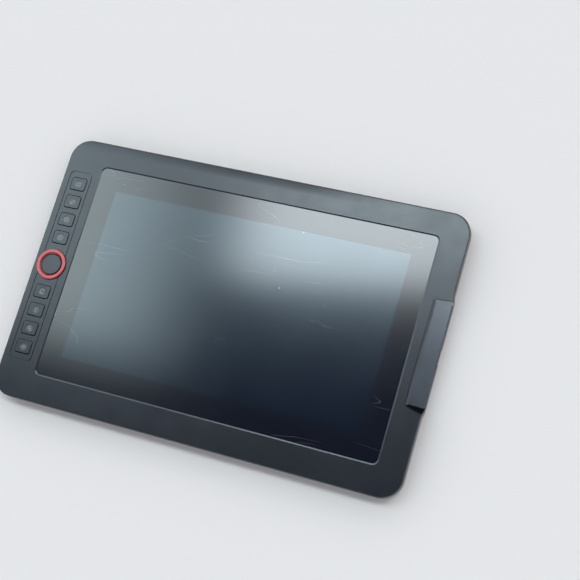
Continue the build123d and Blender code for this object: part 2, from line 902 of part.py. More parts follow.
def board_chips():
    """Chips, a crystal can and the two ribbon sockets on the main board."""
    chip_shares = [
        (0.1, 0.1, 0.2),
        (-0.2, 0.22, 0.14),
        (0.28, -0.24, 0.12),
        (0.3, 0.22, 0.08),
        (0, -0.2, 0.09),
    ]
    group = Part()
    for x_share, y_share, side_share in chip_shares:
        side = side_share * main_board_length
        x = main_board_x + x_share * main_board_length
        y = y_share * main_board_width
        group += plate(x, y, side, side, main_board_top_z, main_board_top_z + chip_height)
    socket_top = shield_back_z - flex_thickness
    left = main_board_x - main_board_length / 2
    half = ribbon_width / 2
    group += span(left, left + ribbon_overlap, -half, half, main_board_top_z, socket_top)
    low = -main_board_width / 2
    start = ribbon_x() - half
    group += span(start, start + ribbon_width, low, low + ribbon_overlap, main_board_top_z, socket_top)
    return group


def key_board():
    """The board under the keys."""
    board = plate(key_x, 0, key_board_width, key_board_length,
                  key_board_z, key_board_top_z, key_board_radius)
    for x, y in key_boss_places():
        board -= post(x, y, small_hole_radius, key_board_z, key_board_top_z)
    return board


def key_mat():
    """The two rubber sheets under the keys, with a dome for each key."""
    sheet = plate(key_x, 0, mat_width, mat_length, key_board_top_z, mat_top_z, mat_radius)
    sheet -= post(key_x, 0, hub_flange_radius + mat_gap, key_board_top_z, mat_top_z)
    for y in key_heights:
        sheet += post(key_x, y, mat_dome_radius, mat_top_z, dome_top_z)
    return sheet


def express_key(y):
    """A key cap with a shallow round dish, a retaining flange and a plunger."""
    width = key_opening_width - 2 * key_gap
    height = key_opening_height - 2 * key_gap
    radius = key_opening_radius - key_gap
    cap = plate(key_x, y, width, height, key_flange_low_z, key_top_z, radius)
    cap = fillet(outer_edges(cap, -1), key_edge_radius)
    ball = (key_dish_radius**2 + key_dish_depth**2) / (2 * key_dish_depth)
    cap -= Pos(key_x, y, key_top_z - key_dish_depth + ball) * Sphere(ball)
    rim_width = key_opening_width + 2 * key_flange_rim
    rim_height = key_opening_height + 2 * key_flange_rim
    cap += plate(key_x, y, rim_width, rim_height, key_flange_low_z, key_flange_top_z, key_opening_radius)
    return cap + post(key_x, y, key_plunger_radius, key_plunger_z, key_flange_low_z)


def dial_ring():
    """The ring that the fingers turn: flat top, sloping inner side, and slots for the wheel's lugs."""
    points = [
        (ring_inner_radius, ring_low_z),
        (ring_outer_radius, ring_low_z),
        (ring_outer_radius, ring_top_z),
        (ring_inner_radius + ring_bevel, ring_top_z),
        (ring_inner_radius, front_z),
    ]
    section = Plane.XZ * make_face(Polyline(*points, close=True))
    ring = Pos(key_x, 0, 0) * revolve(section, Axis.Z)
    ring = fillet(ring.edges().group_by(Axis.Z)[-1], ring_round)
    for place in PolarLocations(wheel_lug_radius, 3):
        slot = Cylinder(ring_slot_width / 2, 2 * ring_slot_depth)
        ring -= Pos(key_x, 0, ring_low_z) * place * slot
    return ring


def dial_wheel():
    """The wheel under the ring, with three lugs and a sleeve with detents."""
    sleeve_inner = hub_radius + run_gap
    sleeve_outer = sleeve_inner + wheel_sleeve_wall
    wheel = post(key_x, 0, wheel_radius, wheel_low_z, ring_low_z)
    sleeve_low = hub_flange_top_z + run_gap
    wheel += post(key_x, 0, sleeve_outer, sleeve_low, wheel_low_z)
    wheel -= post(key_x, 0, sleeve_inner, sleeve_low, ring_low_z)
    for place in PolarLocations(sleeve_outer, detent_count):
        notch = post(0, 0, detent_radius, sleeve_low, wheel_low_z)
        wheel -= Pos(key_x, 0, 0) * place * notch
    for place in PolarLocations(wheel_lug_radius, 3):
        radius = ring_slot_width / 2 - wheel_lug_gap
        lug_top = ring_low_z + ring_slot_depth - wheel_lug_gap
        lug = post(0, 0, radius, ring_low_z - wheel_thickness / 2, lug_top)
        wheel += Pos(key_x, 0, 0) * place * lug
    return wheel


def dial_hub():
    """The fixed hub on the key board that the wheel turns round."""
    hub = post(key_x, 0, hub_flange_radius, key_board_top_z, hub_flange_top_z)
    hub += post(key_x, 0, hub_radius, key_board_top_z, cap_low_z)
    return hub - post(key_x, 0, hub_bore_radius, cap_low_z - hub_bore_depth, cap_low_z)


def dial_cap():
    """The fixed disc in the middle of the ring, with a stem in the hub."""
    disc = post(key_x, 0, ring_inner_radius - run_gap, cap_low_z, cap_low_z + cap_thickness)
    disc = fillet(outer_edges(disc, -1), cap_edge_radius)
    stem_radius = hub_bore_radius - cap_stem_gap
    return disc + post(key_x, 0, stem_radius, cap_low_z - cap_stem_length, cap_low_z)


def push_button(x):
    """A button in the top edge: slot-shaped cap with a flange behind the wall."""
    cap_face = top_y - button_sink
    flange_front = top_y - wall - button_gap
    flange_back = flange_front - button_flange_thickness
    cap = button_slot(button_length, button_height, flange_back, cap_face)
    front = cap.faces().sort_by(Axis.Y)[-1]
    cap = fillet(front.outer_wire().edges(), button_edge_radius)
    grow = 2 * (button_gap + button_rim)
    flange = button_slot(button_length + grow, button_height + grow, flange_back, flange_front)
    return Pos(x, 0, 0) * (cap + flange)


def button_board():
    """The small board behind the buttons."""
    low, high = button_board_span()
    y = button_board_y()
    half = button_board_depth / 2
    board = span(low, high, y - half, y + half, button_board_z, button_board_top_z)
    for x, place_y in button_board_places():
        board -= post(x, place_y, small_hole_radius, button_board_z, button_board_top_z)
    return board


def button_switches():
    """The three side-pressed switches on the button board."""
    group = Part()
    face = switch_face_y()
    for x in button_places:
        left, right = x - switch_length / 2, x + switch_length / 2
        top = button_board_top_z + switch_height
        group += span(left, right, face - switch_depth, face, button_board_top_z, top)
    return group


def screw(x, y, seat, head_radius, head_height, shank_radius, shank_length):
    """A screw driven upwards, with its head under the seat."""
    head = post(x, y, head_radius, seat - head_height, seat)
    return head + post(x, y, shank_radius, seat, seat + shank_length)


def case_screws():
    """The screws that hold the rear shell to the front shell."""
    group = Part()
    for x, y in case_screw_places():
        group += screw(x, y, screw_seat_z, screw_head_radius, screw_head_height,
                       screw_shank_radius, screw_shank_length - screw_gap)
    return group


def board_screws():
    """The small screws inside the case, all driven from the rear."""
    seats = [
        (key_boss_places(), key_board_z, key_board_thickness + small_shank_length),
        (button_board_places(), button_board_z, button_board_thickness + small_shank_length),
        (driver_board_places(), driver_board_z, driver_board_thickness + driver_board_drop),
        (tray_screw_places(), face_z - tray_sheet, tray_sheet),
        (shield_screw_places(), shield_back_z, shield_thickness + small_shank_length),
    ]
    group = Part()
    for places, seat, length in seats:
        for x, y in places:
            group += screw(x, y, seat, small_head_radius, small_head_height,
                           small_shank_radius, length - screw_gap)
    return group


def main_board_screws():
    """The screws that hold the main board, driven down into the rear shell."""
    group = Part()
    for x, y in main_board_places():
        head = post(x, y, small_head_radius, main_board_top_z, main_board_top_z + small_head_height)
        group += head + post(x, y, small_shank_radius, floor_z + screw_gap, main_board_top_z)
    return group


parts = {
    "front_bezel": front_bezel(),
    "rear_cover": rear_cover(),
    "side_plate": side_plate(),
    "usb_c_port": usb_c_port(),
    "cover_glass": cover_glass(),
    "glass_tape": glass_tape(),
    "lcd_panel": lcd_panel(),
    "backlight": backlight(),
    "panel_tray": panel_tray(),
    "digitizer_board": digitizer_board(),
    "shield_plate": shield_plate(),
    "panel_flexes": panel_flexes(),
    "driver_board": driver_board(),
    "display_ribbon": display_ribbon(),
    "key_ribbon": key_ribbon(),
    "main_board": main_board(),
    "board_chips": board_chips(),
    "key_board": key_board(),
    "key_mat": key_mat(),
    "dial_ring": dial_ring(),
    "dial_wheel": dial_wheel(),
    "dial_hub": dial_hub(),
    "dial_cap": dial_cap(),
    "button_board": button_board(),
    "button_switches": button_switches(),
    "case_screws": case_screws(),
    "board_screws": board_screws(),
    "main_board_screws": main_board_screws(),
}
for number, y in enumerate(key_heights, start=1):
    parts[f"express_key_{number}"] = express_key(y)
for name, x in zip(button_names, button_places):
    parts[name] = push_button(x)
for name, (x, y) in zip(["top_left", "top_right", "bottom_left", "bottom_right"], foot_places()):
    parts[f"foot_{name}"] = foot(x, y)

os.makedirs("parts", exist_ok=True)
for name, solid in parts.items():
    export_step(Pos(0, -case_y, 0) * solid, f"parts/{name}.step")
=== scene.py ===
import json
import math
from typing import NamedTuple

import bmesh
import bpy
from bpy.props import FloatProperty, FloatVectorProperty, PointerProperty
from bpy.types import Operator, Panel, PropertyGroup
from mathutils import Matrix, Vector


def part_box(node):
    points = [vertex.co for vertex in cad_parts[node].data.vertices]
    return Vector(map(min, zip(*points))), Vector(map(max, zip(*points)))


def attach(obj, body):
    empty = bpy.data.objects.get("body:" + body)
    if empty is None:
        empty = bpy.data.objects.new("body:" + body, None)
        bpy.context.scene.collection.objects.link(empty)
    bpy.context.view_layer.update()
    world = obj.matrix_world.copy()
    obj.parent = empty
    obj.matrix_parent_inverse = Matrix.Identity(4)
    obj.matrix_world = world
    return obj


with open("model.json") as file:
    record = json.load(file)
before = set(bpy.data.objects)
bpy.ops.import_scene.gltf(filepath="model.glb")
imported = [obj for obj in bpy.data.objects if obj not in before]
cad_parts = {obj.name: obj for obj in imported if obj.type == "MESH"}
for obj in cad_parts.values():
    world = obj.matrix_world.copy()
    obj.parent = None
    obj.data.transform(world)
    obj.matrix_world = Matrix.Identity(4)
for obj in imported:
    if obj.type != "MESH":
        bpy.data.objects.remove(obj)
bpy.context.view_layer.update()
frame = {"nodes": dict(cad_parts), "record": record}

bl_info = {
    "name": "Pen Display",
    "version": (1, 0, 0),
    "blender": (4, 5, 0),
    "location": "3D View > Sidebar > Pen Display",
    "description": "Finishes and fine details of a flat pen display with shortcut keys and a dial",
    "category": "Object",
}

MM = 0.001
SLOT_OF_NODE = {row["node"]: row["material_slot"] for row in frame["record"]["subparts"]}
KEYS = sorted(node for node in frame["nodes"] if node.startswith("express_key_"))
BUTTONS = ("power_button", "brightness_up_button", "brightness_down_button")
DARK_PLASTIC = (0.0165, 0.0185, 0.0215, 1.0)
FLOOR_REACH = 12.0


def middle(node):
    """Centre of a CAD node's box."""
    low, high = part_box(node)
    return (low + high) / 2


# Settings that a user would change

def colour(name, description, default):
    """A colour setting."""
    return FloatVectorProperty(name=name, description=description, default=default,
                               size=4, min=0.0, max=1.0, subtype="COLOR")


def length(name, description, millimetres):
    """A length setting, given in millimetres and kept in metres."""
    return FloatProperty(name=name, description=description, default=millimetres * MM,
                         min=0.0, precision=5, subtype="DISTANCE", unit="LENGTH")


def share(name, description, default):
    """A setting between nothing and one."""
    return FloatProperty(name=name, description=description, default=default,
                         min=0.0, max=1.0, subtype="FACTOR")


class ShellSettings(PropertyGroup):
    """Colours and grain of the moulded shells, keys and feet."""
    bezel_colour: colour("Front shell", "Plastic of the front shell", DARK_PLASTIC)
    rear_colour: colour("Rear shell", "Plastic of the rear shell", (0.022, 0.024, 0.027, 1.0))
    plate_colour: colour("Side plate", "Plastic of the sloping side plate", (0.0165, 0.0195, 0.0260, 1.0))
    key_colour: colour("Keys", "Plastic of the shortcut keys", DARK_PLASTIC)
    foot_colour: colour("Feet", "Rubber of the feet", (0.020, 0.020, 0.021, 1.0))
    grain_size: length("Grain", "Width of one grain of the moulded surface", 0.45)
    bezel_roughness: share("Front roughness", "Roughness of the front shell", 0.2)


class ScreenSettings(PropertyGroup):
    """Sizes and colours of the screen."""
    active_width: length("Picture width", "Width of the part of the screen that lights up", 256.32)
    active_height: length("Picture height", "Height of the part of the screen that lights up", 144.18)
    mask_colour: colour("Border", "Black print behind the glass", (0.004, 0.004, 0.005, 1.0))
    panel_colour: colour("Picture area", "Tint of the unlit picture area", (0.034, 0.046, 0.054, 1.0))
    glass_roughness: share("Glass roughness", "How much the glass blurs what it mirrors", 0.095)
    seal_gap: length("Seal gap", "Width of the gap between the glass and the shell", 0.35)
    lip_round: length("Lip round", "Rounding of the shell's lip round the glass", 0.5)
    glass_bevel: length("Glass bevel", "Bevel along the edge of the glass", 0.2)
    glass_corner: length("Glass corner", "Radius of the corners of the glass", 4.5)


class DialSettings(PropertyGroup):
    """Colours of the dial and sizes of the raised marks."""
    ring_colour: colour("Ring", "Finish of the ring", (0.62, 0.050, 0.062, 1.0))
    # Painted shade for the ring's bevels and rounded edges.
    painted_bevel_shade: colour("Ring bevels", "Finish of the ring's bevels", (0.22, 0.004, 0.010, 1.0))
    cap_colour: colour("Middle disc", "Plastic of the disc inside the ring", DARK_PLASTIC)
    mark_colour: colour("Marks", "Raised marks on the keys", (0.28, 0.33, 0.33, 1.0))
    mark_size: length("Mark size", "Width of the raised mark in a key's dish", 4.2)
    mark_height: length("Mark height", "How far a mark stands up from the dish", 0.05)
    dish_radius: length("Dish radius", "Radius of the round dish in a key", 3.3)
    # Pale colour painted into the keys' dishes as a painted highlight.
    dish_colour: colour("Dish", "Plastic of a key where fingers rub it", (0.23, 0.28, 0.28, 1.0))


class StageSettings(PropertyGroup):
    """The floor, the light and the camera."""
    floor_colour: colour("Floor", "Colour of the floor", (0.99, 0.96, 0.93, 1.0))
    lens: FloatProperty(name="Lens", description="Focal length of the camera", default=80.9,
                        min=1.0, subtype="DISTANCE_CAMERA")
    camera_place: FloatVectorProperty(
        name="Camera place", description="Where the camera stands",
        default=(0.36805, -0.17482, 0.95616), subtype="TRANSLATION", unit="LENGTH")
    camera_turn: FloatVectorProperty(
        name="Camera turn", description="How the camera is turned",
        default=tuple(math.radians(angle) for angle in (16.244, 14.771, 16.934)),
        subtype="EULER", unit="ROTATION")


# Materials

class Nodes:
    """A node tree, with short calls for the nodes that the materials and the sky share."""

    def __init__(self, tree):
        self.tree = tree

    def add(self, kind, inputs=(), **values):
        """A new node, with its values and its inputs set or joined."""
        node = self.tree.nodes.new(f"ShaderNode{kind}")
        for key, value in values.items():
            setattr(node, key, value)
        for key, value in dict(inputs).items():
            self.feed(node.inputs[key], value)
        return node

    def feed(self, socket, value):
        """Joins a socket to another node, or sets it."""
        if isinstance(value, bpy.types.NodeSocket):
            self.tree.links.new(value, socket)
        else:
            socket.default_value = value

    def axes(self, vector):
        """The X, Y and Z of a vector."""
        return self.add("SeparateXYZ", {0: vector}).outputs

    def vector(self, operation, first, inputs, output="Vector"):
        """One step of arithmetic with vectors."""
        return self.add("VectorMath", {0: first, **inputs}, operation=operation).outputs[output]

    def count(self, operation, first, second=0.0):
        """One step of arithmetic."""
        return self.add("Math", {0: first, 1: second}, operation=operation).outputs[0]

    def times(self, first, *others):
        """The product of several values."""
        for other in others:
            first = self.count("MULTIPLY", first, other)
        return first

    def spread(self, value, low, high, start=0.0, end=1.0):
        """Maps a value from one range to another, held at its ends."""
        inputs = {"Value": value, "From Min": start, "From Max": end, "To Min": low, "To Max": high}
        return self.add("MapRange", inputs).outputs[0]

    def ease(self, value, start, end):
        """A smooth step from nothing to one."""
        inputs = {"Value": value, "From Min": start, "From Max": end}
        return self.add("MapRange", inputs, interpolation_type="SMOOTHSTEP").outputs[0]

    def mix(self, factor, first, second):
        """Blends two colours."""
        return self.add("Mix", {0: factor, 6: first, 7: second}, data_type="RGBA").outputs[2]


class Recipe(Nodes):
    """The nodes of one material, whose patterns lie in Object coordinates."""

    def __init__(self, name, **sockets):
        self.material = bpy.data.materials.new(name)
        self.material.use_nodes = True
        super().__init__(self.material.node_tree)
        self.shader = self.tree.nodes["Principled BSDF"]
        coordinates = self.add("TexCoord").outputs
        self.place, self.facing = coordinates["Object"], coordinates["Normal"]
        self.set(**sockets)

    def set(self, **sockets):
        """Sets or joins sockets of the shader, named with underscores."""
        for key, value in sockets.items():
            self.feed(self.shader.inputs[key.replace("_", " ")], value)

    def at(self, centre=(0, 0, 0), scale=(1, 1, 1), turn=(0, 0, 0)):
        """Object coordinates measured from a centre, stretched and turned."""
        origin = tuple(-value for value in centre)
        shifted = self.add("Mapping", {"Vector": self.place, "Location": origin}).outputs[0]
        return self.add("Mapping", {"Vector": shifted, "Scale": scale, "Rotation": turn}).outputs[0]

    def noise(self, scale, detail=2.0, place=None, roughness=0.5):
        """Smooth random values with features of the given frequency in 1/m."""
        inputs = {"Vector": place or self.place, "Scale": scale, "Detail": detail, "Roughness": roughness}
        return self.add("TexNoise", inputs).outputs["Fac"]

    def cells(self, scale, randomness=1.0):
        """Distance from the middle of the nearest cell, in an even grid where the randomness is nothing."""
        inputs = {"Vector": self.place, "Scale": scale, "Randomness": randomness}
        return self.add("TexVoronoi", inputs).outputs["Distance"]

    def stripes(self, scale):
        """Even stripes across X."""
        inputs = {"Vector": self.place, "Scale": scale}
        return self.add("TexWave", inputs, bands_direction="X").outputs["Fac"]

    def patches(self, scale, start, end):
        """One in scattered patches, and nothing between them."""
        return self.spread(self.noise(scale, 1.0), 0.0, 1.0, start, end)

    def dust(self, spacing, radius):
        """Sparse round specks."""
        reach = radius / spacing
        specks = self.spread(self.cells(1.0 / spacing), 1.0, 0.0, 0.6 * reach, reach)
        return self.times(specks, self.patches(31.0, 0.44, 0.50))

    def inside(self, low, high, blur):
        """One inside an upright box, and nothing round it, with blurred sides."""
        place = self.axes(self.place)
        mask = 1.0
        for axis, start, end in zip("XY", low, high):
            off = self.count("ABSOLUTE", self.count("SUBTRACT", place[axis], (start + end) / 2))
            half = (end - start) / 2
            mask = self.times(self.spread(off, 1.0, 0.0, half - blur, half + blur), mask)
        return mask

    def bump(self, height, distance, strength=1.0, normal=None):
        """A normal raised by a height."""
        inputs = {"Height": height, "Distance": distance, "Strength": strength}
        if normal:
            inputs["Normal"] = normal
        return self.add("Bump", inputs).outputs[0]

    def paint_deep_shade(self, tint, mask):
        """Colours the surface, and paints deep shade on it where a mask says so, near black and metallic so
        that it takes no diffuse light.
        """
        # Painted shade: the near-black colour laid where the mask says.
        painted_deep_shade = (0.003, 0.003, 0.006, 1.0)
        self.set(Base_Color=self.mix(mask, tint, painted_deep_shade), Metallic=mask)


def shade(base, factor):
    """A colour made lighter or darker."""
    return tuple(min(1.0, channel * factor) for channel in base[:3]) + (1.0,)


def moulded(name, base, grain, roughness=0.2, depth=0.008, under=None):
    """Matte plastic with a fine moulded grain, slow changes of shade and faint handling marks."""
    recipe = Recipe(name, IOR=1.68, Specular_Tint=(0.91, 0.96, 1.0, 1.0))
    smudge = 0.02
    tone = recipe.spread(recipe.noise(14.0, 3.0), 0.0, 1.0, 0.3, 0.7)
    recipe.tint = recipe.mix(tone, shade(base, 0.92), shade(base, 1.08))
    marks = recipe.noise(42.0, 5.0, roughness=0.62)
    recipe.roughness = recipe.spread(marks, roughness - smudge, roughness + smudge, 0.35, 0.65)
    form = under(recipe) if under else None
    surface = recipe.bump(recipe.noise(1.0 / grain), depth * MM, 0.5, form)
    recipe.set(Base_Color=recipe.tint, Roughness=recipe.roughness, Normal=surface)
    return recipe


def moulded_plastic(*values):
    """The material of a moulded part with nothing more on it."""
    return moulded(*values).material


def front_shell_plastic(settings):
    """The front shell's plastic, which falls away along the far edge and has painted shade deep in the key
    openings.
    """
    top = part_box("front_bezel")[1]
    band, drop, steepness = 8.0 * MM, 0.45 * MM, 1.3
    around_keys = 1.2 * MM
    rim, floor = 0.04 * MM, 0.22 * MM

    def crown(recipe):
        place = recipe.axes(recipe.place)
        inwards = recipe.count("SUBTRACT", top.y - MM, place["Y"])
        fall = recipe.count("POWER", recipe.spread(inwards, 1.0, 0.0, 0.0, band), steepness)
        fade = recipe.spread(place["X"], 1.0, 0.0, 0.2 * top.x, 0.85 * top.x)
        return recipe.bump(recipe.times(fall, fade), -drop)

    recipe = moulded("Front shell plastic", settings.bezel_colour, settings.grain_size,
                     settings.bezel_roughness, under=crown)
    boxes = [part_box(key) for key in KEYS]
    low = [min(box[0][axis] for box in boxes) - around_keys for axis in (0, 1)]
    high = [max(box[1][axis] for box in boxes) + around_keys for axis in (0, 1)]
    height = recipe.axes(recipe.place)["Z"]
    # Painted shade in the key openings: below the shell's face, round the keys, it is painted near black.
    sunk = recipe.spread(height, 1.0, 0.0, top.z - floor, top.z - rim)
    tint = recipe.mix(recipe.dust(24 * MM, 0.25 * MM), recipe.tint, (0.45, 0.46, 0.48, 1.0))
    recipe.paint_deep_shade(tint, recipe.times(recipe.inside(low, high, 0.01 * MM), sunk))
    return recipe.material


def side_plate_plastic(settings):
    """The side plate's plastic, with a painted highlight on its upper end slope and painted deep shade on the
    lower one.
    """
    recipe = moulded("Side plate plastic", settings.plate_colour, settings.grain_size)
    recipe.set(IOR=1.9, Specular_Tint=(0.83, 0.92, 1.0, 1.0))
    low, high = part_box("side_plate")
    upper_end, lower_end = high.y - 6 * MM, low.y + 8 * MM
    place = recipe.axes(recipe.place)["Y"]
    facing = recipe.axes(recipe.facing)
    slope = recipe.count("GREATER_THAN", facing["Z"], 0.3)
    upper = recipe.times(slope, recipe.count("GREATER_THAN", place, upper_end),
                         recipe.count("LESS_THAN", facing["Y"], -0.5))
    lower = recipe.times(slope, recipe.count("LESS_THAN", place, lower_end),
                         recipe.count("GREATER_THAN", facing["Y"], 0.3))
    # Painted highlight on the upper end slope, and painted shade on the lower end slope.
    painted_paleness = (0.36, 0.40, 0.42, 1.0)
    recipe.paint_deep_shade(recipe.mix(upper, recipe.tint, painted_paleness), lower)
    return recipe.material


def key_plastic(number, node, settings, dial):
    """A key's plastic, rough in its dish, with a speckled painted highlight in the dish, stronger on the
    upper keys, and painted shade on the sides that face the lower right.
    """
    recipe = moulded(f"Key plastic {number}", settings.key_colour, settings.grain_size)
    centre = middle(node)
    centre.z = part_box(node)[1].z
    # Painted highlight in the dish, stronger on keys higher up.
    painted_light_at_middle, painted_light_per_metre = 0.76, 4.4
    painted_dish_light = painted_light_at_middle + painted_light_per_metre * centre.y
    away = recipe.vector("LENGTH", recipe.at(centre, (1, 1, 0)), {}, "Value")
    dish = recipe.spread(away, 1.0, 0.0, dial.dish_radius - 0.3 * MM, dial.dish_radius)
    painted_paleness = recipe.spread(recipe.noise(1900.0, 3.0, roughness=0.7), 0.45 * painted_dish_light, painted_dish_light, 0.4, 0.66)
    tint = recipe.mix(recipe.times(dish, painted_paleness), recipe.tint, dial.dish_colour[:])
    # Painted shade on the sides of the key that face the lower right, outside the dish.
    lower_right = recipe.vector("DOT_PRODUCT", recipe.facing, {1: (0.6, -0.8, 0.0)}, "Value")
    side = recipe.spread(lower_right, 0.0, 1.0, 0.15, 0.4)
    recipe.paint_deep_shade(tint, recipe.times(side, recipe.count("SUBTRACT", 1.0, dish)))
    recipe.set(Roughness=recipe.count("MAXIMUM", recipe.roughness, recipe.times(dish, 0.55)))
    return recipe.material


def rubber(name, base, pitch, depth):
    """Matt rubber with a tread of small round pips."""
    recipe = Recipe(name)
    tone = recipe.noise(60.0, 4.0)
    pips = recipe.spread(recipe.cells(1.0 / pitch, 0.0), 1.0, 0.0, 0.2, 0.45)
    recipe.set(Base_Color=recipe.mix(tone, shade(base, 0.8), shade(base, 1.25)),
               Roughness=recipe.spread(tone, 0.72, 0.9),
               Normal=recipe.bump(pips, depth * MM, 0.7))
    return recipe.material


def brushed_metal(name, base, roughness, stretch, scale=2600.0):
    """Metal with fine lines along one axis, such as rolled sheet."""
    recipe = Recipe(name, Metallic=1.0)
    lines = recipe.noise(scale, 3.0, recipe.at(scale=stretch))
    cloud = recipe.spread(recipe.noise(35.0, 3.0), 0.0, 1.0, 0.3, 0.7)
    recipe.set(Base_Color=recipe.mix(cloud, shade(base, 0.86), shade(base, 1.06)),
               Roughness=recipe.spread(lines, roughness - 0.08, roughness + 0.1),
               Normal=recipe.bump(lines, 0.01 * MM, 0.4))
    return recipe.material


def screen_glass(settings):
    """Glass over a black printed border and the unlit picture area, with dust and hairline scratches."""
    recipe = Recipe("Screen glass", Coat_Weight=1.0, Coat_Roughness=settings.glass_roughness,
                    Coat_IOR=1.8, Specular_IOR_Level=0.25)
    centre = middle("cover_glass").xy
    reach = Vector((settings.active_width, settings.active_height)) / 2
    picture = recipe.inside(centre - reach, centre + reach, 0.1 * MM)
    paths = recipe.noise(9.0, 2.0, recipe.at(scale=(1.0, 5.0, 1.0), turn=(0, 0, 0.6)))
    off = recipe.count("ABSOLUTE", recipe.count("SUBTRACT", paths, 0.5))
    hairline, faintness = 0.0022, 0.35
    scratches = recipe.times(recipe.spread(off, 1.0, 0.0, 0.0, hairline),
                             recipe.spread(recipe.noise(17.0, 1.0), 0.0, faintness, 0.54, 0.60))
    worn = recipe.count("MAXIMUM", recipe.dust(13 * MM, 0.35 * MM), scratches)
    base = recipe.mix(picture, settings.mask_colour[:], settings.panel_colour[:])
    haze = recipe.noise(24.0, 4.0, roughness=0.6)
    recipe.set(Base_Color=recipe.mix(recipe.times(worn, 0.75), base, (0.5, 0.52, 0.55, 1.0)),
               Metallic=picture, Roughness=recipe.spread(haze, 0.145, 0.175, 0.3, 0.7))
    return recipe.material


def sealing_foam(name, base):
    """Fine closed-cell foam."""
    recipe = Recipe(name)
    cells = recipe.cells(2600.0)
    recipe.set(Base_Color=recipe.mix(cells, shade(base, 0.7), shade(base, 1.3)),
               Roughness=recipe.spread(cells, 0.8, 0.95),
               Normal=recipe.bump(cells, 0.04 * MM, 0.6))
    return recipe.material


def display_cell():
    """The face of the unlit liquid crystal cell, with its rows of picture elements."""
    recipe = Recipe("Display cell", Coat_Weight=0.6, Coat_Roughness=0.12)
    tone = recipe.noise(20.0)
    dark = recipe.mix(tone, (0.008, 0.010, 0.014, 1.0), (0.012, 0.015, 0.022, 1.0))
    rows = recipe.spread(recipe.stripes(1400.0), 0.0, 0.3)
    recipe.set(Base_Color=recipe.mix(rows, dark, (0.03, 0.035, 0.045, 1.0)),
               Roughness=recipe.spread(tone, 0.22, 0.32))
    return recipe.material


def light_film():
    """White diffusing film with the grid of dots of a light guide."""
    recipe = Recipe("Light guide film")
    dots = recipe.spread(recipe.cells(900.0, 0.0), 1.0, 0.0, 0.25, 0.32)
    recipe.set(Base_Color=recipe.mix(dots, (0.78, 0.79, 0.78, 1.0), (0.90, 0.91, 0.90, 1.0)),
               Roughness=recipe.spread(recipe.noise(80.0), 0.3, 0.45),
               Normal=recipe.bump(dots, 0.02 * MM, 0.3))
    return recipe.material


def circuit_board():
    """Green solder mask over copper tracks, with tinned pads."""
    recipe = Recipe("Circuit board")
    layout = {"Vector": recipe.place, "Scale": 130.0, "Mortar Size": 0.05, "Bias": -0.2,
              "Brick Width": 0.9, "Row Height": 0.3}
    tracks = recipe.add("TexBrick", layout).outputs["Fac"]
    pads = recipe.spread(recipe.cells(300.0), 1.0, 0.0, 0.10, 0.14)
    tinned = recipe.times(pads, recipe.patches(60.0, 0.5, 0.56))
    green = recipe.mix(tracks, (0.012, 0.085, 0.035, 1.0), (0.030, 0.150, 0.070, 1.0))
    recipe.set(Base_Color=recipe.mix(tinned, green, (0.62, 0.60, 0.52, 1.0)),
               Metallic=tinned, Roughness=recipe.spread(recipe.noise(700.0), 0.28, 0.42),
               Normal=recipe.bump(recipe.count("MAXIMUM", tracks, tinned), 0.03 * MM, 0.5))
    return recipe.material


def flex_film():
    """Amber film over parallel copper tracks."""
    recipe = Recipe("Flexible circuit")
    tracks = recipe.spread(recipe.stripes(480.0), 0.0, 1.0, 0.45, 0.55)
    recipe.set(Base_Color=recipe.mix(tracks, (0.36, 0.16, 0.03, 1.0), (0.62, 0.32, 0.09, 1.0)),
               Roughness=recipe.spread(recipe.noise(90.0), 0.26, 0.38),
               Normal=recipe.bump(tracks, 0.02 * MM, 0.4))
    return recipe.material


def ring_finish(settings):
    """Satin red finish with the fine circular lines of turning, and painted shade on the bevels."""
    recipe = Recipe("Dial ring red", IOR=1.75)
    about = recipe.at(middle("dial_ring"))
    lines = recipe.add("TexWave", {"Vector": about, "Scale": 900.0, "Distortion": 0.4, "Detail": 2.0},
                       wave_type="RINGS", rings_direction="Z").outputs["Fac"]
    red = settings.ring_colour
    tint = recipe.mix(recipe.noise(160.0, 3.0), shade(red, 0.94), shade(red, 1.05))
    # Painted shade: faces tilted away from straight up take the darker bevel colour.
    flat = recipe.spread(recipe.axes(recipe.facing)["Z"], 0.0, 1.0, 0.80, 0.98)
    recipe.set(Base_Color=recipe.mix(flat, settings.painted_bevel_shade[:], tint),
               Roughness=recipe.spread(lines, 0.17, 0.23),
               Normal=recipe.bump(lines, 0.006 * MM, 0.5))
    return recipe.material


def screw_finish():
    """Blackened steel, worn bright in small patches."""
    recipe = Recipe("Blackened steel", Metallic=1.0)
    worn = recipe.noise(900.0, 4.0, roughness=0.6)
    bright = recipe.spread(worn, 0.0, 1.0, 0.55, 0.75)
    recipe.set(Base_Color=recipe.mix(bright, (0.07, 0.07, 0.075, 1.0), (0.3, 0.3, 0.31, 1.0)),
               Roughness=recipe.spread(worn, 0.35, 0.5),
               Normal=recipe.bump(worn, 0.01 * MM, 0.5))
    return recipe.material


def gold_plate():
    """Gold flash on the contacts of the port."""
    recipe = Recipe("Gold flash", Metallic=1.0)
    tone = recipe.noise(1500.0)
    recipe.set(Base_Color=recipe.mix(tone, (0.70, 0.46, 0.16, 1.0), (0.86, 0.62, 0.26, 1.0)),
               Roughness=recipe.spread(tone, 0.22, 0.34))
    return recipe.material


def dress(slot, material):
    """Gives a material to every CAD node that the record puts in a slot."""
    named = [node for node, its_slot in SLOT_OF_NODE.items() if its_slot == slot]
    if not named:
        raise RuntimeError(f"no node has the slot {slot}")
    for node in named:
        dress_node(node, material)


def dress_node(node, material):
    """Gives a material to one CAD node."""
    mesh_object = frame["nodes"][node]
    if not mesh_object.material_slots:
        mesh_object.data.materials.append(material)
    for holder in mesh_object.material_slots:
        holder.material = material


# Shapes

